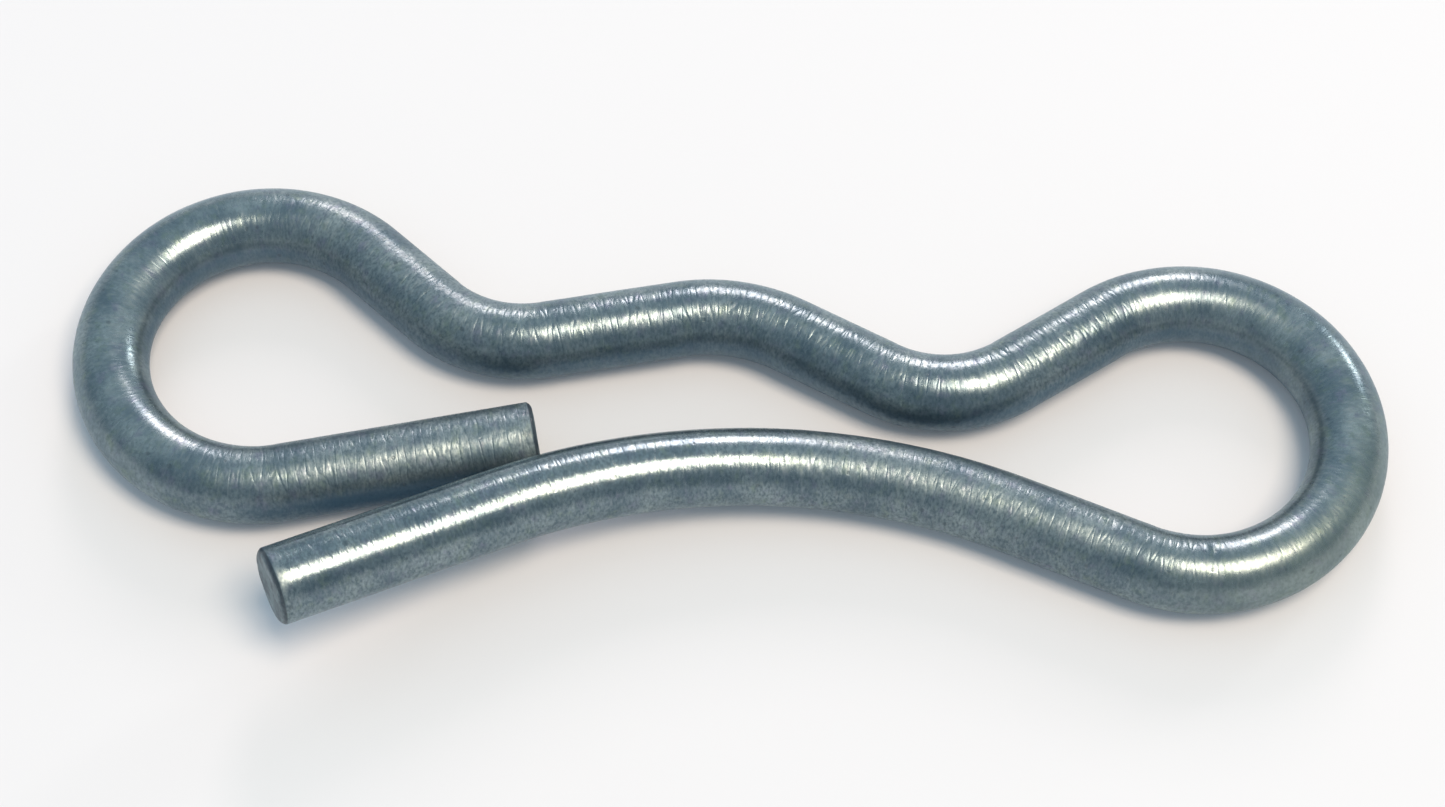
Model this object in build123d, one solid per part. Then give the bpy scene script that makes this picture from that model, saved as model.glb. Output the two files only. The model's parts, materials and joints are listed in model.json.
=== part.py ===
"""Spring locking pin: one round spring wire, cold bent into two loops, a wavy side and a bowed leg.

Millimetres, +Z up. The pin lies on its side on the plane z = 0, with its length along X. The wavy side
runs along the back (+Y) and the bowed leg along the front (-Y). The wire starts at the cut end of the
short hook, goes round the left loop, along the wavy side, round the right loop and back along the leg
to the cut tip, which passes over the end of the hook. The origin is the centre of the pin's footprint.
"""

from build123d import *
from math import cos, radians, sin, sqrt
import os

# Wire
wire_diameter = 4.5
end_break = 0.3  # bevel on the rim of each cut end

# All slopes are angles in degrees from the pin's length

# Hook: the short straight end that closes the left loop
hook_length = 14.8
hook_slope = 11.0  # angle at which it climbs towards its cut end

# Left loop and the wavy side, in the order in which the wire is bent
left_loop_inside_radius = 6.6
left_flank_slope = -43.2  # angle, falling to the right
left_flank_length = 5.3
left_valley_inside_radius = 5.4
left_hump_slope = 10.0  # angle, rising to the right
left_hump_length = 8.0
hump_inside_radius = 7.6
right_hump_slope = -29.1  # angle, falling
right_hump_length = 6.1
right_valley_inside_radius = 5.2
right_flank_slope = 32.7  # angle, rising
right_flank_length = 6.4

# Right loop and the leg that goes through the hole of the shaft
right_loop_inside_radius = 6.7
leg_root_slope = 23.6  # angle at which the leg leaves the right loop, rising to the left
leg_bow_inside_radius = 33.3
leg_tip_slope = 25.3  # angle at which it falls again to its tip
leg_tip_length = 13.9
leg_roll = 8.4  # angle by which the leg is rolled about its root, so that it rides up on the hook
leg_clearance = 0.05  # gap between the leg and the end of the hook

wire_radius = wire_diameter / 2
quarter_turn = 90
half_turn = 180


def centreline_radius(inside_radius):
    """Radius of the wire's centreline in a bend with the given inside radius."""
    return inside_radius + wire_radius


def heading(degrees):
    """Unit vector in the XY plane at an angle from +X."""
    return Vector(cos(radians(degrees)), sin(radians(degrees)), 0)


def run(route, slope, length):
    """Adds a straight stretch to the route."""
    start = route[-1] @ 1 if route else Vector(0, 0, 0)
    route.append(Line(start, start + heading(slope) * length))


def bend(route, start_slope, end_slope, inside_radius):
    """Adds a bend from one heading to another, turning clockwise where the heading falls."""
    radius = centreline_radius(inside_radius)
    route.append(JernArc(route[-1] @ 1, heading(start_slope), radius, end_slope - start_slope))


def main_route():
    """Centreline from the hook's cut end, round the left loop, along the wavy side and round the right loop."""
    route = []
    hook_heading = half_turn + hook_slope
    run(route, hook_heading, hook_length)
    bend(route, hook_heading, left_flank_slope, left_loop_inside_radius)
    run(route, left_flank_slope, left_flank_length)
    bend(route, left_flank_slope, left_hump_slope, left_valley_inside_radius)
    run(route, left_hump_slope, left_hump_length)
    bend(route, left_hump_slope, right_hump_slope, hump_inside_radius)
    run(route, right_hump_slope, right_hump_length)
    bend(route, right_hump_slope, right_flank_slope, right_valley_inside_radius)
    run(route, right_flank_slope, right_flank_length)
    bend(route, right_flank_slope, -half_turn - leg_root_slope, right_loop_inside_radius)
    return route


def leg_root_length(root, hook_end):
    """Straight stretch between the right loop and the bow that brings the bow up to the end of the hook.

    The bow is an arc in the rolled plane of the leg. It slides along the root until the end of the hook
    lies one wire and the clearance away from it.
    """
    root_heading = half_turn - leg_root_slope
    along = heading(root_heading)
    inward = heading(root_heading + quarter_turn)
    down = inward * cos(radians(leg_roll)) + Vector(0, 0, sin(radians(leg_roll)))
    bow_radius = centreline_radius(leg_bow_inside_radius)
    to_hook = hook_end - root
    height = to_hook.dot(along.cross(down))
    reach = bow_radius + sqrt(max((wire_diameter + leg_clearance) ** 2 - height**2, 0))
    offset = to_hook.dot(down) - bow_radius
    return to_hook.dot(along) - sqrt(reach**2 - offset**2)


def leg_route(root, hook_end):
    """Centreline of the leg: root, bow and straight tip, rolled up out of the plane of the loops."""
    root_heading = half_turn - leg_root_slope
    tip_heading = half_turn + leg_tip_slope
    root_length = leg_root_length(root, hook_end)
    route = [Line(root, root + heading(root_heading) * root_length)]
    bend(route, root_heading, tip_heading, leg_bow_inside_radius)
    run(route, tip_heading, leg_tip_length)
    root_axis = Axis(root, heading(root_heading))
    return [edge.rotate(root_axis, leg_roll) for edge in route]


def spring_wire():
    """The whole pin: a round section along the centreline, with bevelled cut ends."""
    route = main_route()
    route += leg_route(route[-1] @ 1, route[0] @ 0)
    centreline = Wire(route)
    section = Plane(origin=centreline @ 0, z_dir=centreline % 0) * Circle(wire_radius)
    wire = sweep(section, path=centreline)
    cut_rims = wire.faces().filter_by(GeomType.PLANE).edges()
    return chamfer(cut_rims, end_break)


def on_the_ground(shape):
    """Moves a shape so that the centre of its footprint is at the origin and it stands on z = 0."""
    box = shape.bounding_box()
    middle = box.center()
    return Pos(-middle.X, -middle.Y, -box.min.Z) * shape


os.makedirs("parts", exist_ok=True)
export_step(on_the_ground(spring_wire()), "parts/spring_wire.step")
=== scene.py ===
# %% [markdown]
# # Spring locking pin
#
# A spring locking pin holds a shaft in place. It is one length of 4.5 mm spring steel wire, bent cold on
# a wire bender. One leg goes through a cross hole in the shaft, and the wavy side snaps round the
# shaft. After bending, the wire was electroplated with zinc and passivated, which left it dull and
# bluish grey.
#
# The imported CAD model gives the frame: its size, its place and the names. This lesson dresses it. The
# wire is swept again with a much finer surface, because the look of bare metal lives in its highlights,
# and highlights show every ripple of the surface below them.

# %% Load the frame
import json
from math import cos, exp, hypot, pi, radians, sin

import bpy
import numpy as np
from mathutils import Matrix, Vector, noise
from mathutils.bvhtree import BVHTree


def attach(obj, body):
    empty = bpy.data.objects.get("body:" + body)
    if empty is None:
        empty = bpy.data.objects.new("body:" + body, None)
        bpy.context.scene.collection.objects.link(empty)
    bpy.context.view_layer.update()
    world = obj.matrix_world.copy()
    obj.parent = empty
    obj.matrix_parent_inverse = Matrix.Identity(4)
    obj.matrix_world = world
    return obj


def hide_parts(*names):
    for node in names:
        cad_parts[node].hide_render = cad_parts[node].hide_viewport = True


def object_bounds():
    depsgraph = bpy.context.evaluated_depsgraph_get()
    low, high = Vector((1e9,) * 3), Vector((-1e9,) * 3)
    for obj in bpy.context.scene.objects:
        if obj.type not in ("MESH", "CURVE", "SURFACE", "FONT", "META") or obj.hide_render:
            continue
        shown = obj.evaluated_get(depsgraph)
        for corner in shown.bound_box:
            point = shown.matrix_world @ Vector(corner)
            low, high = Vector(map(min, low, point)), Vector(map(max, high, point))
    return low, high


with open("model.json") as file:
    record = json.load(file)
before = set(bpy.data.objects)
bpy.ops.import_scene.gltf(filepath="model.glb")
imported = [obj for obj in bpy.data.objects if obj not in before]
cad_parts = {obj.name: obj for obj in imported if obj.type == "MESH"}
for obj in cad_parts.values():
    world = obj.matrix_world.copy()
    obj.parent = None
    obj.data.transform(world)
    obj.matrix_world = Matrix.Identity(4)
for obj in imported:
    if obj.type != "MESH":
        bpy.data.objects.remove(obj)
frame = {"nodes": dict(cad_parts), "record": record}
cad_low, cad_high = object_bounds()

MM = 0.001
UP = Vector((0, 0, 1))
print("CAD size in mm:", [round(side / MM, 2) for side in cad_high - cad_low])

# %% [markdown]
# ## The bending program
#
# A wire bender feeds the wire and bends it, again and again. Its program is a list of feeds and turns,
# and the same list gives the centreline here. The shape could be drawn as a curve object with handles,
# but a curve only comes near to true arcs. The program gives each point and its heading exactly, and it
# also says how far along the wire each point lies, which the surface patterns need later.

# %% The wire and its bending program
wire_diameter = 4.5 * MM
wire_radius = wire_diameter / 2


def straight(length):
    """One feed of the program: its length and its curvature."""
    return length * MM, 0.0


def bend(inside_radius, turn):
    """One bend of the program. A positive turn goes to the left, a negative one to the right."""
    radius = inside_radius * MM + wire_radius
    return radius * radians(abs(turn)), (1 if turn > 0 else -1) / radius


hook_heading = radians(191.0)  # from the x axis: the way the wire runs from the hook's cut end
loops_and_waves = [
    straight(14.8),  # hook
    bend(6.6, -234.2),  # left loop
    straight(5.3),
    bend(5.4, 53.2),  # left valley
    straight(8.0),
    bend(7.6, -39.1),  # hump
    straight(6.1),
    bend(5.2, 61.8),  # right valley
    straight(6.4),
    bend(6.7, -236.3),  # right loop
]
leg_bow_and_tip = [bend(33.3, 48.9), straight(13.9)]
leg_roll = radians(8.4)  # the leg lies in a plane of its own, rolled up about its root


def program_length(program):
    """The wire that a program takes."""
    return sum(length for length, curvature in program)


main_length = program_length(loops_and_waves)
print("hook, loops and waves take", round(main_length / MM, 1), "mm of wire")

# %% [markdown]
# ## Following the program
#
# In an arc the heading turns evenly, so the point at any distance is known exactly, without adding up
# small steps. One function walks through the program, whole feeds and bends first, and then goes the
# rest of the way within the last one.


# %% A point on the centreline
def along_program(program, start, heading, distance):
    """Point and heading on the centreline at a distance from its start."""
    for length, curvature in program:
        step = min(distance, length)
        turned = heading + curvature * step
        if curvature:
            across = (sin(turned) - sin(heading)) / curvature
            up = (cos(heading) - cos(turned)) / curvature
        else:
            across, up = cos(heading) * step, sin(heading) * step
        start = start + Vector((across, up, 0))
        heading = turned
        distance -= step
        if distance <= 0:
            break
    return start, heading


root_start, loop_exit = along_program(loops_and_waves, Vector(), hook_heading, main_length)
print("the leg starts", round(root_start.length / MM, 1), "mm from the hook's cut end")

# %% [markdown]
# ## The leg's root and the place of the wire
#
# Two things are read from the frame instead of being typed again. The root, the straight start of the
# leg, is as long as it takes to bring the tip to the place that the record gives for it. The whole wire
# is then laid where the CAD model lies: its left loop touches the same corner of the box.

# %% Fit the root and the place
ring_step = 0.132 * MM  # fine enough for the relief, and still under 200,000 triangles


def rolled(offset, heading):
    """Turns an offset from the leg's root about the root's own direction."""
    ahead = Vector((cos(heading), sin(heading), 0))
    left = UP.cross(ahead)
    side = offset.dot(left)
    return ahead * offset.dot(ahead) + (left * cos(leg_roll) + UP * sin(leg_roll)) * side


loop_points = [
    along_program(loops_and_waves, Vector(), hook_heading, distance)[0]
    for distance in np.arange(0, main_length, ring_step)
]
leftmost = min(point.x for point in loop_points) - wire_radius
backmost = max(point.y for point in loop_points) + wire_radius
place = Vector((cad_low.x - leftmost, cad_high.y - backmost, cad_low.z + wire_radius))

tip_mount = next(mount for mount in frame["record"]["mounts"] if mount["name"] == "cross_hole_leg")
tip_end = along_program(leg_bow_and_tip, Vector(), loop_exit, program_length(leg_bow_and_tip))[0]
root_direction = Vector((cos(loop_exit), sin(loop_exit), 0))
unrooted_tip = place + root_start + rolled(tip_end, loop_exit)
root_length = (Vector(tip_mount["pos_m"]) - unrooted_tip).dot(root_direction)
leg = [(root_length, 0.0)] + leg_bow_and_tip
wire_length = main_length + program_length(leg)
print("root", round(root_length / MM, 2), "mm, whole wire", round(wire_length / MM, 1), "mm")

# %% [markdown]
# ## Rings along the wire
#
# A sweep needs a ring of points at each step, and the rings mustn't twist against each other. In a flat
# bend the direction to the left and the direction up already travel along without twisting. The leg is
# rolled, so its own left and up are turned back by the roll. That way the ring before the root and the
# ring after it start at the same place, and the patterns of the surface run on without a step.


# %% A frame of directions at each distance
def wire_frame(distance):
    """Centre, left and up of the ring at a distance along the wire."""
    if distance <= main_length:
        centre, heading = along_program(loops_and_waves, Vector(), hook_heading, distance)
        return place + centre, UP.cross(Vector((cos(heading), sin(heading), 0))), UP
    offset, heading = along_program(leg, Vector(), loop_exit, distance - main_length)
    ahead = rolled(Vector((cos(heading), sin(heading), 0)), loop_exit)
    leg_up = root_direction.cross(UP.cross(root_direction) * cos(leg_roll) + UP * sin(leg_roll))
    leg_left = leg_up.cross(ahead)
    left = leg_left * cos(leg_roll) - leg_up * sin(leg_roll)
    return place + root_start + rolled(offset, loop_exit), left, ahead.cross(left)


tip_centre = wire_frame(wire_length)[0]
print("the tip's centre lies", round((tip_centre.z - cad_low.z) / MM, 2), "mm above the floor")

# %% [markdown]
# ## Where the tools touched the wire
#
# Two more things depend on the place along the wire. A bend is pressed a little flat on its inside by
# the pin that it goes round, the more so the tighter it is. In the two loops the wire slides round a
# polished pin for more than half a turn, which irons its surface smooth. The waves are only pressed
# between short dies, and keep their marks.

# %% Bends and ironed loops
tightest_radius = min(1 / abs(curvature) for length, curvature in loops_and_waves if curvature)
loop_fade = 8.0 * MM  # the smooth stretch comes and goes over this length


def curvature_at(distance):
    """Curvature of the centreline, positive where the wire turns to the left."""
    for length, curvature in loops_and_waves + leg:
        if distance <= length:
            return curvature
        distance -= length
    return 0.0


def ironed_at(distance):
    """1 in the middle of a loop, 0 outside the loops."""
    share, start = 0.0, 0.0
    for length, curvature in loops_and_waves:
        if abs(curvature) * length > pi:
            inside = min(distance - start, start + length - distance)
            share = max(share, min(1.0, inside / loop_fade))
        start += length
    return share


print("tightest centreline radius", round(tightest_radius / MM, 2), "mm")

# %% [markdown]
# ## The relief of the surface
#
# Drawn wire is round to a few hundredths of a millimetre, but not smooth. The straightener and the
# bender leave shallow waves in it, the zinc grows unevenly on top, and handling adds nicks. A bump map
# could fake all of it, but the edges of a highlight on a small radius wander only when the surface
# really does. So the waves, the tools' chatter, the flats of the bends and the nicks are cut into the
# mesh, and only marks of half a millimetre and less are left to the material. The relief always cuts
# inwards: the plated wire is never thicker than its nominal 4.5 mm.

# %% Waves, bends and nicks
wave_depth = 0.020 * MM
wave_length = 3.2 * MM
chatter_depth = 0.006 * MM
chatter_length = 0.55 * MM
chatter_width = 3.0 * MM  # round the wire, because rollers and pins press across its length
bend_flat_depth = 0.03 * MM
bend_flat_sharpness = 8  # keeps the flat to a narrow stripe on the inside of the bend
chatter_offset = Vector((0, 17, 0))  # takes the chatter from another part of the noise than the waves

# distance along the wire in mm and angle round it in degrees, half length, half width and depth in mm
nicks = [
    (137.7, 102, 0.20, 0.35, 0.05),
    (131.6, 104, 0.16, 0.40, 0.06),
    (130.4, 20, 0.14, 0.45, 0.06),
    (85.9, 168, 0.16, 0.40, 0.05),
    (87.0, 158, 0.16, 0.45, 0.06),
    (41.0, 60, 0.20, 0.30, 0.04),
    (108.0, 150, 0.18, 0.40, 0.04),
    (152.0, 75, 0.15, 0.30, 0.03),
]
nick_reach = 3  # half lengths, beyond which nothing of a nick is left


def relief(distance, angle):
    """How far the surface lies below the nominal radius."""
    around = Vector((0, cos(angle), sin(angle))) * wire_radius
    wave = 0.5 + 0.5 * noise.noise((Vector((distance, 0, 0)) + around) / wave_length)
    chatter_at = Vector((distance / chatter_length, 0, 0)) + around / chatter_width
    chatter = 0.5 + 0.5 * noise.noise(chatter_at + chatter_offset)
    depth = wave_depth * wave + chatter_depth * chatter
    curvature = curvature_at(distance)
    inside = cos(angle) * (1 if curvature > 0 else -1)
    if inside > 0:
        depth += bend_flat_depth * abs(curvature) * tightest_radius * inside**bend_flat_sharpness
    for at, nick_angle, length, width, nick_depth in nicks:
        away = distance - at * MM
        if abs(away) < nick_reach * length * MM:
            turn = (angle - radians(nick_angle) + pi) % (2 * pi) - pi
            spread = (away / (length * MM)) ** 2 + (turn * wire_radius / (width * MM)) ** 2
            depth += nick_depth * MM * exp(-spread)
    return depth


sample_angle = 1.0
samples = [relief(distance, sample_angle) / MM for distance in np.arange(0, wire_length, 1 * MM)]
print("relief", round(min(samples), 3), "to", round(max(samples), 3), "mm deep on one line")

# %% [markdown]
# ## The cut ends
#
# The wire is cropped by a shear before it is bent. The blade rolls the rim over a little and then tears
# the rest, so an end has a narrow sloping rim round a face that is nearly flat, with faint steps across
# it. The plating rounds all of this. A grid of rings from the rim to the middle gives that face.

# %% Profile of a cut end
end_break = 0.3 * MM
# how far each ring lies from the end face, and how far inside the nominal radius, in parts of the rim
rim_profile = [
    (1.0, 0.0),
    (0.8, 0.12),
    (0.6, 0.28),
    (0.4, 0.46),
    (0.22, 0.66),
    (0.09, 0.85),
    (0.02, 1.0),
]
face_rings = 9
tear_depth = 0.05 * MM
tear_length = 1.5 * MM  # along a step
tear_width = 0.35 * MM  # from step to step
tear_layer = 4  # a layer of the noise that nothing else uses
tear_fade = 8  # how quickly the steps end beyond the face

rim = [(back * end_break, wire_radius - inward * end_break) for back, inward in rim_profile]
face_radius = rim[-1][1]
face = [(0.0, face_radius * (1 - ring / face_rings)) for ring in range(1, face_rings)]
print("rings of an end: rim", len(rim), "and face", len(face))


def tear(side, up):
    """Depth of the torn face at a place on it: faint steps across the way the blade went."""
    steps = noise.noise(Vector((side / tear_length, up / tear_width, tear_layer)))
    return tear_depth * (0.5 + 0.5 * steps)


# %% [markdown]
# ## The points
#
# Each ring is a distance along the wire, a distance from its end and a radius. Each point also stores
# where it lay on the straight wire before it was bent: its distance along the wire, and its place in the
# round section. The material draws all its patterns in those coordinates, in millimetres. That has two
# advantages over a flat UV map: a pattern can be stretched along or round the wire, and it has no seam.
# Two more values go with each point: how near it is to a cut end, and how much it was ironed in a loop.

# %% Sweep the wire
segments = 64
end_wear = 1.2 * MM  # how far the wear of a cut end reaches along the wire
shaft_length = wire_length - 2 * end_break
shaft_steps = round(shaft_length / ring_step)
rings = [(back, back, radius) for back, radius in reversed(rim + face)]
for step in range(1, shaft_steps):
    distance = end_break + shaft_length * step / shaft_steps
    rings.append((distance, min(distance, wire_length - distance), wire_radius))
rings += [(wire_length - back, back, radius) for back, radius in rim + face]

angles = [2 * pi * segment / segments - pi / 2 for segment in range(segments)]
points, unbent, worn, ironed = [], [], [], []
for distance, from_end, radius in rings:
    centre, left, up = wire_frame(distance)
    ahead = left.cross(up)
    into_the_wire = ahead if distance < wire_length / 2 else -ahead
    on_face = radius < face_radius + end_break / 2
    for angle in angles:
        ring_radius = radius - relief(distance, angle) * min(1, radius / wire_radius)
        side, height = ring_radius * cos(angle), ring_radius * sin(angle)
        point = centre + left * side + up * height
        if on_face:
            point += into_the_wire * tear(side, height) * min(1, (face_radius / radius) ** tear_fade)
        points.append(point)
        unbent.append((distance / MM, side / MM, height / MM))
        worn.append(max(0.0, 1 - from_end / end_wear))
        ironed.append(ironed_at(distance))
print("rings", len(rings), "points", len(points))

# %% [markdown]
# ## The mesh
#
# Bands of four-sided faces join the rings, and a fan of triangles closes the middle of each end. The
# values that were kept for each point are then stored with the mesh, where the material can read them.

# %% Faces
last_ring = len(rings) - 1
faces = []
for ring in range(last_ring):
    for segment in range(segments):
        after = (segment + 1) % segments
        here, there = ring * segments, (ring + 1) * segments
        faces.append((here + segment, here + after, there + after, there + segment))

for ring, distance in ((0, 0.0), (last_ring, wire_length)):
    circle = list(range(ring * segments, (ring + 1) * segments))
    middle = len(points)
    for segment in range(segments):
        pair = circle[segment], circle[(segment + 1) % segments]
        faces.append((*(pair if ring else pair[::-1]), middle))
    points.append(sum((points[corner] for corner in circle), Vector()) / segments)
    unbent.append((distance / MM, 0.0, 0.0))
    worn.append(1.0)
    ironed.append(0.0)
print("faces", len(faces))

# %% The mesh and its stored values
mesh = bpy.data.meshes.new("plated_spring_wire")
mesh.from_pydata(points, [], faces)
mesh.update()
mesh.shade_smooth()
plated_wire = bpy.data.objects.new("plated_spring_wire", mesh)
bpy.context.scene.collection.objects.link(plated_wire)

mesh.attributes.new("unbent_place", "FLOAT_VECTOR", "POINT")
mesh.attributes["unbent_place"].data.foreach_set("vector", np.array(unbent, np.float32).ravel())
for name, values in (("worn_end", worn), ("ironed", ironed)):
    mesh.attributes.new(name, "FLOAT", "POINT")
    mesh.attributes[name].data.foreach_set("value", np.array(values, np.float32))
mesh.calc_loop_triangles()
print("triangles", len(mesh.loop_triangles))

# %% [markdown]
# ## An unrolled map
#
# The render needs no UV map, but a copy of this model for other programs would have its colours painted
# on a picture, and that picture needs one. A map made by an automatic unwrap would cut the wire into
# many scraps. The wire is a tube, so it is unrolled instead, like the paper label of a tin: three
# strips, one above the other, each a third of the wire long and as high as the wire is round. The two
# cut ends are laid out as discs in a fourth row, with their rims spread flat.

# %% Sizes of the map
strip_count = 3
map_gap = 0.5 * MM
strip_length = wire_length / strip_count
strip_height = 2 * pi * wire_radius
map_side = strip_length + 2 * map_gap
end_rings = len(rim) + len(face)

disc_radii = [rings[0][2]]  # from the middle outwards, measured over the sloping rim
for inner, outer in zip(rings[:end_rings - 1], rings[1:end_rings]):
    disc_radii.append(disc_radii[-1] + hypot(outer[1] - inner[1], outer[2] - inner[2]))
disc_row = strip_count * (strip_height + map_gap) + map_gap + disc_radii[-1]
print("a strip is", round(strip_length / MM, 1), "by", round(strip_height / MM, 1), "mm")


# %% Three strips and two discs
def on_disc(ring, segment):
    """Place on the disc of the nearer end. The start is mirrored, so that both discs face outwards."""
    at_start = ring < end_rings
    radius = disc_radii[ring if at_start else last_ring - ring]
    angle = 2 * pi * segment / segments * (-1 if at_start else 1)
    middle = (map_gap + disc_radii[-1]) * (1 if at_start else 3)
    return middle + radius * cos(angle), disc_row + radius * sin(angle)


def on_strip(strip, ring, segment):
    """Place on one of the three strips."""
    row = map_gap + strip * (strip_height + map_gap)
    return map_gap + rings[ring][0] - strip * strip_length, row + strip_height * (1 - segment / segments)


map_corners = []
for ring in range(last_ring):
    on_an_end = ring + 1 < end_rings or ring > last_ring - end_rings
    strip = min(strip_count - 1, int(rings[ring][0] / strip_length))
    for segment in range(segments):
        band = (ring, segment), (ring, segment + 1), (ring + 1, segment + 1), (ring + 1, segment)
        map_corners += [on_disc(*corner) if on_an_end else on_strip(strip, *corner) for corner in band]
for ring in (0, last_ring):
    middle = (map_gap + disc_radii[-1]) * (3 if ring else 1), disc_row
    for segment in range(segments):
        pair = on_disc(ring, segment), on_disc(ring, segment + 1)
        map_corners += [*(pair if ring else pair[::-1]), middle]

unrolled = mesh.uv_layers.new(name="OFBake")
unrolled.data.foreach_set("uv", (np.array(map_corners, np.float32) / map_side).ravel())
print("map corners", len(map_corners), "highest", round(max(map(max, map_corners)) / map_side, 3))

# %% [markdown]
# ## In the frame's place
#
# The new wire rides on the only body that the pin has, and it stands for the plain CAD solid. A last
# measurement compares the two surfaces: they should lie within a few hundredths of a millimetre, the
# depth of the relief, apart from the nicks and the rims of the cut ends.

# %% Tie the wire to the frame
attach(plated_wire, "root")
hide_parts("spring_wire")

probe_step = 7  # every seventh point tells enough
cad_mesh = frame["nodes"]["spring_wire"].data
cad_surface = BVHTree.FromPolygons(
    [vertex.co for vertex in cad_mesh.vertices], [polygon.vertices for polygon in cad_mesh.polygons]
)
gaps = [cad_surface.find_nearest(vertex.co)[3] for vertex in list(mesh.vertices)[::probe_step]]
print("largest gap to the CAD surface", round(max(gaps) / MM, 3), "mm")

# %% [markdown]
# ## Zinc plated spring wire
#
# Electroplated zinc starts bright and turns dull once it is passivated and handled. Up close it is a
# satin metal with faint spots of green and violet from the passivate, small dark pits, and marks that
# run round the wire from the rollers and pins. Over it lies the thin glassy passivate film.
#
# The colours are written as sRGB hex values, the way a colour picker shows them, and one function turns
# them to the linear values that Blender calculates with. One more function adds a node, with its
# settings, its values and its links. A link can be given as a node, and then comes from its first
# output in use.


# %% Helpers for colours and nodes
def linear(hex_colour):
    """Linear red, green, blue and alpha of an sRGB hex colour."""
    channels = [int(hex_colour[i:i + 2], 16) / 255 for i in (1, 3, 5)]
    return [c / 12.92 if c <= 0.04045 else ((c + 0.055) / 1.055) ** 2.4 for c in channels] + [1.0]


def add(tree, kind, inputs, **settings):
    """Adds a node. An input goes by name, or by place where names repeat, and gets a value or a link."""
    node = tree.nodes.new("ShaderNode" + kind)
    for name, value in settings.items():
        setattr(node, name, value)
    in_use = [socket for socket in node.inputs if socket.enabled]
    for name, value in inputs.items():
        socket = in_use[name] if isinstance(name, int) else next(s for s in in_use if s.name == name)
        if isinstance(value, bpy.types.Node):
            value = next(output for output in value.outputs if output.enabled)
        if isinstance(value, bpy.types.NodeSocket):
            tree.links.new(value, socket)
        else:
            socket.default_value = value
    return node


plating = bpy.data.materials.new("zinc_plated_spring_wire")
plating.use_nodes = True
tree = plating.node_tree
tree.nodes.clear()
print("light zinc, linear:", [round(value, 3) for value in linear("#8d9ca0")])

# %% [markdown]
# ## Patterns of the plating
#
# All patterns are noise in the coordinates of the straight wire. Dividing by a length turns millimetres
# into grains: a small length along the wire and a larger one round it give marks that run across the
# wire, as rollers leave them. The zinc's clouds are a few millimetres wide, and the passivate's spots a
# little less than one. The crystals of the zinc are a few hundredths of a millimetre, too fine to show,
# so their grain is drawn at 0.2 mm. Each pattern takes its own part of the noise, so no two coincide.

# %% Noise at five sizes
wire_place = add(tree, "Attribute", {}, attribute_name="unbent_place").outputs["Vector"]
worn_end = add(tree, "Attribute", {}, attribute_name="worn_end").outputs["Fac"]
ironed_share = add(tree, "Attribute", {}, attribute_name="ironed").outputs["Fac"]

pattern_sizes = {
    # length of a grain along the wire and width round it in mm, levels of detail, place in the noise
    "clouds": (2.6, 2.6, 3.0, 0.0),
    "tint": (0.7, 0.9, 3.0, 31.0),
    "crystals": (0.16, 0.26, 2.0, 7.0),
    "streaks": (0.22, 0.7, 2.0, 53.0),
    "blocks": (0.5, 1.0, 1.0, 91.0),
}
patterns = {}
for name, (long, wide, detail, place_in_noise) in pattern_sizes.items():
    grains = (1 / long, 1 / wide, 1 / wide)
    scaled = {0: wire_place, 1: grains, 2: (place_in_noise,) * 3}
    scaled = add(tree, "VectorMath", scaled, operation="MULTIPLY_ADD")
    pattern = {"Vector": scaled, "Scale": 1.0, "Detail": detail, "Roughness": 0.55}
    patterns[name] = add(tree, "TexNoise", pattern)
print("patterns made:", ", ".join(patterns))

# %% [markdown]
# ## Colour of the plating
#
# The colour is built up in layers, like glazes of paint. Each layer takes a stretch of a pattern, turns
# it into a share, and mixes its own colour in by that share. First come two greys of zinc in soft
# clouds, then the green and the violet of the passivate, then the darker hollows between crystals, and
# last the lighter tops of the rollers' marks. The loops, ironed smooth, show less of the hollows.

# %% Layers of colour
cloud_share = add(tree, "MapRange", {"Value": patterns["clouds"], "From Min": 0.35, "From Max": 0.65})
two_greys = {"Factor": cloud_share, "A": linear("#667882"), "B": linear("#8d9ca0")}
zinc = add(tree, "Mix", two_greys, data_type="RGBA")

hollows_left = add(tree, "MapRange", {"Value": ironed_share, "To Min": 0.75, "To Max": 0.5})
layers = [
    # pattern, where the layer starts, where it is full, its share there, its colour
    ("tint", 0.56, 0.72, 0.6, "#788a7e"),  # greenish passivate
    ("tint", 0.44, 0.28, 0.6, "#73788e"),  # violet passivate
    ("crystals", 0.35, 0.68, hollows_left, "#4b5f6a"),  # hollows between crystals
    ("streaks", 0.55, 0.75, 0.3, "#98a2a6"),  # tops of the marks
]
for name, starts, full, most, colour in layers:
    share = {"Value": patterns[name], "From Min": starts, "From Max": full, "To Max": most}
    share = add(tree, "MapRange", share)
    zinc = add(tree, "Mix", {"Factor": share, "A": zinc, "B": linear(colour)}, data_type="RGBA")
print("colour layers:", len(layers))

# %% [markdown]
# ## Painted shade and a greener patch
#
# Two patches paint shade into the colour of the wire, darker and bluer. The first lies low on the inner
# side of the left loop and of the waves, where they face the leg across a gap of shaded floor. The
# second lies low on the side of the hook next to the leg, in the shade of the leg that lies over it. A
# third patch is a greener, slightly darker tone on the outer side of the right loop near its end. The
# share of each patch is a product of soft steps along, across and up the wire.

# %% Three soft patches: two of painted shade, one greener
place_parts = add(tree, "SeparateXYZ", {"Vector": wire_place}).outputs
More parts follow.
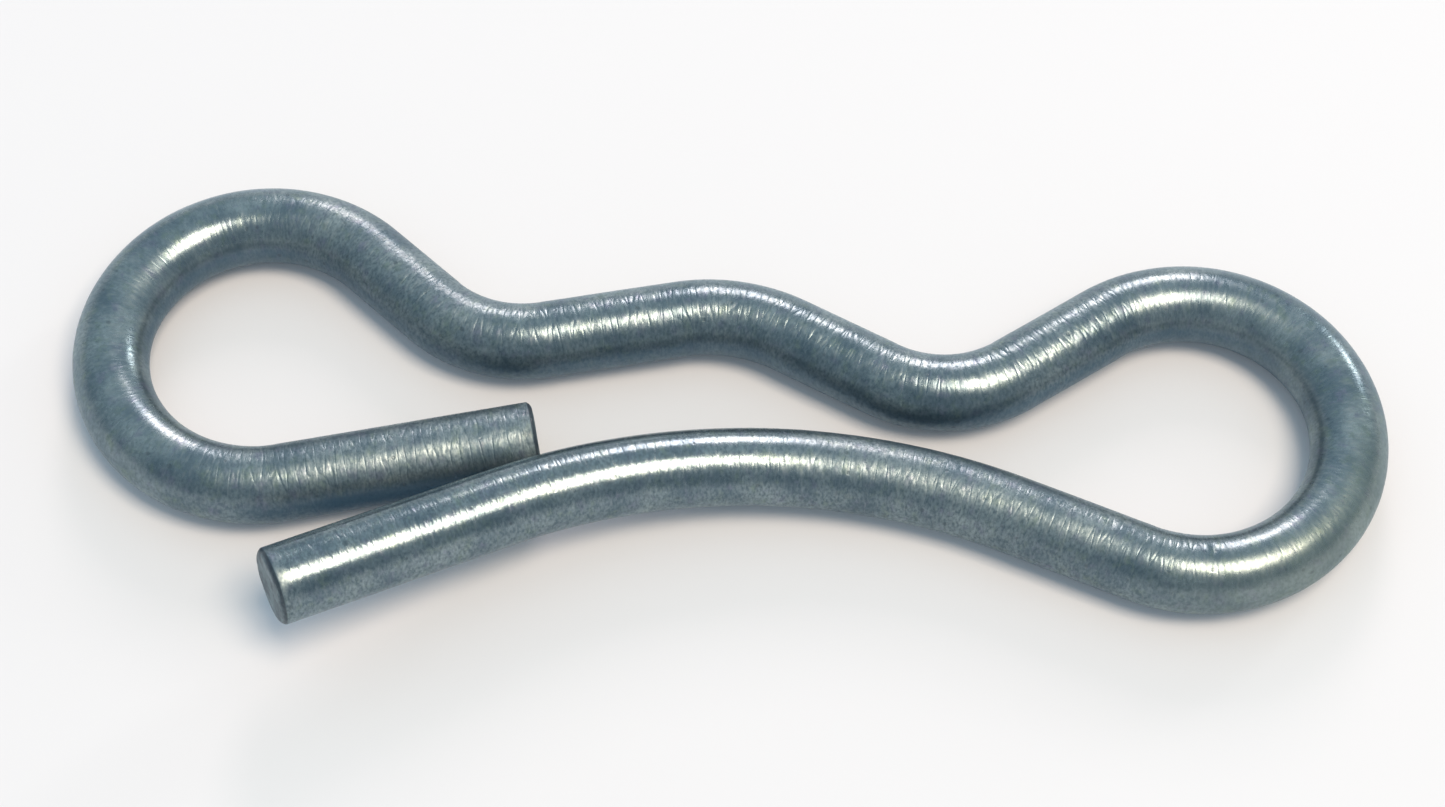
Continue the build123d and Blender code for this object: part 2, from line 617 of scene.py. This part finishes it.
# each soft step: coordinate on the straight wire, where it starts and where it is full, in mm
painted_shade_inner_side = [("Z", 1.3, 0.5), ("Y", 0.0, -0.8), ("X", 22.0, 32.0), ("X", 118.0, 108.0)]
painted_shade_hook_side = [("Z", 1.4, 0.8), ("Y", 0.4, 1.2), ("X", 19.0, 12.0)]
right_loop_outer_side = [("Y", -0.4, 0.6), ("X", 115.0, 121.0), ("X", 136.0, 127.0)]
patches = [
    # soft steps, share where all of them are full, colour
    # painted shade, low on the inner side, facing the leg
    (painted_shade_inner_side, 0.6, "#3b5a70"),
    # painted shade, low on the side of the hook next to the leg
    (painted_shade_hook_side, 0.9, "#3b5a70"),
    # a greener, darker tone on the outer side of the right loop
    (right_loop_outer_side, 0.4, "#7e8a7f"),
]
for soft_steps, most, colour in patches:
    share = most
    for axis, starts, full in soft_steps:
        step = add(tree, "MapRange", {"Value": place_parts[axis], "From Min": starts, "From Max": full})
        share = add(tree, "Math", {0: step, 1: share}, operation="MULTIPLY")
    zinc = add(tree, "Mix", {"Factor": share, "A": zinc, "B": linear(colour)}, data_type="RGBA")
print("patches:", len(patches), "with soft steps:", [len(patch[0]) for patch in patches])

# %% [markdown]
# ## Pits
#
# Here and there the zinc has a dark pit, up to 0.3 mm across and a few millimetres from the next one.
# A Voronoi texture fills space with cells and puts one point in each. Only a point that happens to lie
# near the wire's surface shows as a pit, and its cell's own random colour sets how large the pit is.

# %% Scattered pits
cell_size = 1.1  # mm
largest_pit = 0.16  # its radius, in cells
pit_darkness = 0.35
pit_cells = add(tree, "TexVoronoi", {"Vector": wire_place, "Scale": 1 / cell_size})
pit_size = add(tree, "Math", {0: pit_cells.outputs["Color"], 1: largest_pit}, operation="MULTIPLY")
to_rim = add(tree, "Math", {0: pit_cells.outputs["Distance"], 1: pit_size}, operation="SUBTRACT")
pits = add(tree, "MapRange", {"Value": to_rim, "From Min": 0.02, "From Max": -0.03})
pit_share = add(tree, "Math", {0: pits, 1: pit_darkness}, operation="MULTIPLY")
zinc = add(tree, "Mix", {"Factor": pit_share, "A": zinc, "B": linear("#3b454c")}, data_type="RGBA")
print("pits are less than", round(2 * largest_pit * cell_size, 2), "mm across")

# %% [markdown]
# ## The cropped ends
#
# The torn face of a cut end takes the zinc unevenly and looks blotched and matt. Round it, in the bevel,
# lies a dark line of painted shade, of uneven width, where the rolled edge turns from the light. The
# value stored with each point says how near it is to the end face, and some of the tint's noise frays
# the line.

# %% Blotched face and painted shade in the rim
rim_starts = 1 - end_break / end_wear
rim_share = add(tree, "MapRange", {"Value": worn_end, "From Min": rim_starts, "From Max": 1.0})

blotch_share = add(tree, "MapRange", {"Value": patterns["tint"], "From Min": 0.4, "From Max": 0.6})
blotches = {"Factor": blotch_share, "A": linear("#445359"), "B": linear("#66767a")}
blotches = add(tree, "Mix", blotches, data_type="RGBA")
face_share = add(tree, "MapRange", {"Value": rim_share, "From Min": 0.85, "To Max": 0.75})
zinc = add(tree, "Mix", {"Factor": face_share, "A": zinc, "B": blotches}, data_type="RGBA")

fray = 1.6  # how far the tint's noise pushes the inner edge of the dark line in and out
frayed = add(tree, "Math", {0: patterns["tint"], 1: fray, 2: rim_share}, operation="MULTIPLY_ADD")
outer_edge = add(tree, "MapRange", {"Value": rim_share, "From Max": 0.2, "To Max": 0.75})
inner_edge = add(tree, "MapRange", {"Value": frayed, "From Min": 1.9, "From Max": 1.4})
# painted shade: a dark line in the bevel round each cut end
painted_rim_shade = add(tree, "Math", {0: outer_edge, 1: inner_edge}, operation="MULTIPLY")
zinc = add(tree, "Mix", {"Factor": painted_rim_shade, "A": zinc, "B": linear("#333c46")}, data_type="RGBA")
print("the rim begins where the wear is", round(rim_starts, 2))

# %% [markdown]
# ## Roughness
#
# Dull zinc is a satin metal, with a roughness near 0.3. Handling changes that along the wire. The leg is
# pushed through its hole again and again, which rubs its tip half bright. The hook and the worn rims of
# the cut ends stay dull. So do the wire's sides, because the flat pin rubs only on its two faces. The
# marks and the crystals make the roughness uneven, and three stretches of wire differ from the rest.

# %% Satin, rubbed bright on the leg
along = place_parts["X"]
unevenness = add(tree, "Math", {0: patterns["streaks"], 1: patterns["crystals"]}, operation="ADD")
roughness = {"Value": unevenness, "From Min": 0.7, "From Max": 1.3, "To Min": 0.22, "To Max": 0.35}
roughness = add(tree, "MapRange", roughness)

rubbed = add(tree, "MapRange", {"Value": along, "From Min": 148.0, "From Max": 165.0})
hook_share = add(tree, "MapRange", {"Value": along, "From Min": 22.0, "From Max": 12.0})
end_share = add(tree, "MapRange", {"Value": worn_end, "From Min": 0.2, "From Max": 0.65})
from_middle = add(tree, "Math", {0: place_parts["Z"]}, operation="ABSOLUTE")
side_share = add(tree, "MapRange", {"Value": from_middle, "From Min": 1.7, "From Max": 0.9})
changes = [(rubbed, -0.07), (hook_share, 0.13), (end_share, 0.20), (side_share, 0.15)]

stretches = [
    # where it begins and ends and how softly, in mm along the wire, and its change of roughness
    (39.0, 43.5, 3.0, -0.05),  # crown of the left loop, burnished by the bending pin
    (48.0, 58.0, 4.0, 0.12),  # flank after it, dulled by the clamp
    (139.0, 153.0, 5.0, 0.13),  # root of the leg, where the clamp held it again
]
for begins, ends, edge, change in stretches:
    rise = add(tree, "MapRange", {"Value": along, "From Min": begins - edge, "From Max": begins})
    fall = add(tree, "MapRange", {"Value": along, "From Min": ends + edge, "From Max": ends})
    changes.append((add(tree, "Math", {0: rise, 1: fall}, operation="MULTIPLY"), change))

for share, change in changes:
    roughness = add(tree, "Math", {0: share, 1: change, 2: roughness}, operation="MULTIPLY_ADD")
print("changes of roughness:", [change for share, change in changes])

# %% [markdown]
# ## Fine relief
#
# Marks of half a millimetre and less are left to a bump map. Its height is a sum, in millimetres:
# shallow marks and blocks across the wire, crystals, pits, and thin grooves between the short flats that
# the rollers press, one flat each 0.55 mm. The grooves are the edges of Voronoi cells that are much
# longer round the wire than along it. All of it is weaker where the leg is rubbed bright and where the
# loops are ironed. It is stronger on the hook, which nothing slides over, though the grooves less so,
# because the rollers let go of the wire's end early.

# %% Bump
flat_length = 0.55  # mm
flat_width = 2.4  # mm
flat_grains = (1 / flat_length, 1 / flat_width, 1 / flat_width)
flats = add(tree, "VectorMath", {0: wire_place, 1: flat_grains}, operation="MULTIPLY")
flats = add(tree, "TexVoronoi", {"Vector": flats, "Scale": 1.0}, feature="DISTANCE_TO_EDGE")
groove_depth = add(tree, "MapRange", {"Value": hook_share, "To Min": 1.0, "To Max": 0.8})
grooves = {"Value": flats, "From Min": 0.12, "From Max": 0.0, "To Max": groove_depth}
grooves = add(tree, "MapRange", grooves)

height = add(tree, "Math", {0: patterns["streaks"], 1: 0.012}, operation="MULTIPLY")
heights = [(patterns["blocks"], 0.024), (patterns["crystals"], 0.003), (pits, -0.008), (grooves, -0.008)]
for pattern, high in heights:
    height = add(tree, "Math", {0: pattern, 1: high, 2: height}, operation="MULTIPLY_ADD")
relief_left = 1.0
for share, change in ((rubbed, -0.6), (ironed_share, -0.65), (hook_share, 0.4)):
    relief_left = add(tree, "Math", {0: share, 1: change, 2: relief_left}, operation="MULTIPLY_ADD")
height = add(tree, "Math", {0: height, 1: relief_left}, operation="MULTIPLY")
bump = add(tree, "Bump", {"Height": height, "Distance": 1.0 * MM, "Strength": 1.0})
print("heights in the bump:", len(heights) + 1, "flats in mm:", flat_length, "by", flat_width)

# %% [markdown]
# ## The shader
#
# Zinc is a metal, so its colour is the colour of its reflections. The passivate on it is an oxide film
# that also scatters a little, so the metallic value comes down from 1 to 0.8. The film's glassy surface
# is the coat: thin, smoother than the zinc, and with colourless reflections. It gives the narrow bright
# core inside the wide soft highlight, which one roughness alone can't do. The specular tint is the
# metal's colour where it is seen at a grazing angle, and keeps the edges of the wire from going white.

# %% Zinc below a glassy film
film_roughness = 0.15
plating_shader = add(tree, "BsdfPrincipled", {
    "Base Color": zinc,
    "Metallic": 0.8,
    "Roughness": roughness,
    "Normal": bump,
    "Specular Tint": linear("#daeaf3"),
    "Coat Weight": 0.25,
    "Coat Roughness": film_roughness,
    "Coat Normal": bump,
})
add(tree, "OutputMaterial", {"Surface": plating_shader})
mesh.materials.append(plating)
print("nodes in the plating:", len(tree.nodes))

# %% [markdown]
# ## Floor
#
# The pin lies on a large sheet of white paper, which keeps its shadow. Paper is matt, so a diffuse
# shader is enough. A faint glow, seen only by the camera and in reflections, lifts the sheet to white
# without throwing more light on the wire.

# %% White paper
floor_radius = 3.0  # metres, so its edge is never seen
floor_sides = 48
floor_angles = [2 * pi * side / floor_sides for side in range(floor_sides)]
floor_corners = [(floor_radius * cos(a), floor_radius * sin(a), cad_low.z) for a in floor_angles]
floor_mesh = bpy.data.meshes.new("studio_floor")
floor_mesh.from_pydata(floor_corners, [], [range(floor_sides)])
floor = bpy.data.objects.new("studio_floor", floor_mesh)
bpy.context.scene.collection.objects.link(floor)

paper = bpy.data.materials.new("white_paper")
paper.use_nodes = True
tree = paper.node_tree
tree.nodes.clear()
rays = add(tree, "LightPath", {}).outputs
seen = add(tree, "Math", {0: rays["Is Camera Ray"], 1: rays["Is Glossy Ray"]}, operation="MAXIMUM")
faint = add(tree, "Math", {0: seen, 1: 0.06}, operation="MULTIPLY")
glow = add(tree, "Emission", {"Color": linear("#ffffff"), "Strength": faint})
matt = add(tree, "BsdfDiffuse", {"Color": linear("#d9dee5")})
sheet = add(tree, "AddShader", {0: glow, 1: matt})
add(tree, "OutputMaterial", {"Surface": sheet})
floor_mesh.materials.append(paper)
print("floor", 2 * floor_radius, "m across, at", round(cad_low.z / MM, 2), "mm")

# %% [markdown]
# ## World
#
# Bare metal shows what is round it. The studio is plain and blue-grey. It is lightest behind the wire
# and high up, and darker in front, so that the wire gets a light upper half and a darker lower half.
# Near the floor it turns to a light neutral grey, as the paper goes on to the walls.

# %% Blue-grey studio
world = bpy.data.worlds.new("grey_studio")
bpy.context.scene.world = world
world.use_nodes = True
tree = world.node_tree
tree.nodes.clear()
lightest_way = (0.0, 0.6, 0.8)
direction = add(tree, "TexCoord", {}).outputs["Generated"]
high_behind = add(tree, "VectorMath", {0: direction, 1: lightest_way}, operation="DOT_PRODUCT")
walls = add(tree, "ValToRGB", {"Fac": high_behind.outputs["Value"]})
wall_colours = ("#8c9fab", "#bcd3df")  # low in front, and high behind
for stop, colour in zip(walls.color_ramp.elements, wall_colours):
    stop.color = linear(colour)
upwards = add(tree, "SeparateXYZ", {"Vector": direction}).outputs["Z"]
above_floor = add(tree, "MapRange", {"Value": upwards, "From Min": 0.05, "From Max": 0.3})
studio = {"Factor": above_floor, "A": linear("#e4e4e4"), "B": walls.outputs["Color"]}
studio = add(tree, "Mix", studio, data_type="RGBA")
background = add(tree, "Background", {"Color": studio, "Strength": 1.0})
add(tree, "OutputWorld", {"Surface": background})
print("walls from", " to ".join(wall_colours))

# %% [markdown]
# ## Lamps
#
# On round wire each lamp draws a line. Three warm lamps draw the lines here: a soft box above and to the
# right gives the broad highlight along the top, a small lamp behind gives the narrow one near the far
# edge, and a narrow window beside it gives a short streak on each loop. Each lamp is set by the
# irradiance that it brings to the wire, so it can be moved nearer or farther without changing the
# picture's brightness. At an irradiance of pi, white paper renders as white, so the prints give each
# lamp's share of that.


# %% Three area lamps
def lamp(name, place_mm, across, high, irradiance, colour):
    """An area lamp that faces the wire. Its place is in millimetres and its size in metres."""
    towards = Vector(place_mm) * MM
    data = bpy.data.lights.new(name, "AREA")
    data.shape = "RECTANGLE"
    data.size, data.size_y = across, high
    data.energy = irradiance * towards.length_squared * pi
    data.color = linear(colour)[:3]
    item = bpy.data.objects.new(name, data)
    item.location = towards
    item.rotation_euler = towards.to_track_quat("Z", "Y").to_euler()
    bpy.context.scene.collection.objects.link(item)
    print(name, "lights the floor to", round(irradiance * towards.normalized().z / pi, 2))


lamp("softbox_above", (276, -151, 926), 0.36, 0.50, 2.52, "#ffe5c9")
lamp("lamp_behind", (50, 514, 286), 0.15, 0.19, 0.90, "#ffe5de")
lamp("window_beside", (400, 402, 200), 0.07, 0.12, 0.30, "#fff8f2")

# %% [markdown]
# ## Camera
#
# The pin lies flat and is seen from the front at 60 degrees above the floor. A portrait lens close to
# it keeps a little perspective.

# %% Camera
camera_elevation = radians(60)
camera_distance = 185.7 * MM
look_at = Vector((-0.17, 0.49, 2.25)) * MM
camera_data = bpy.data.cameras.new("camera")
camera_data.sensor_width = 36  # the sensor and the lens are in millimetres
camera_data.lens = 79.7
camera_data.clip_start = 1 * MM
camera = bpy.data.objects.new("camera", camera_data)
camera.location = look_at + Vector((0, -cos(camera_elevation), sin(camera_elevation))) * camera_distance
camera.rotation_euler = (pi / 2 - camera_elevation, 0, 0)
bpy.context.scene.collection.objects.link(camera)
bpy.context.scene.camera = camera
bpy.context.scene.view_settings.view_transform = "Standard"
print("camera", round((camera.location.z - cad_low.z) / MM), "mm above the floor")
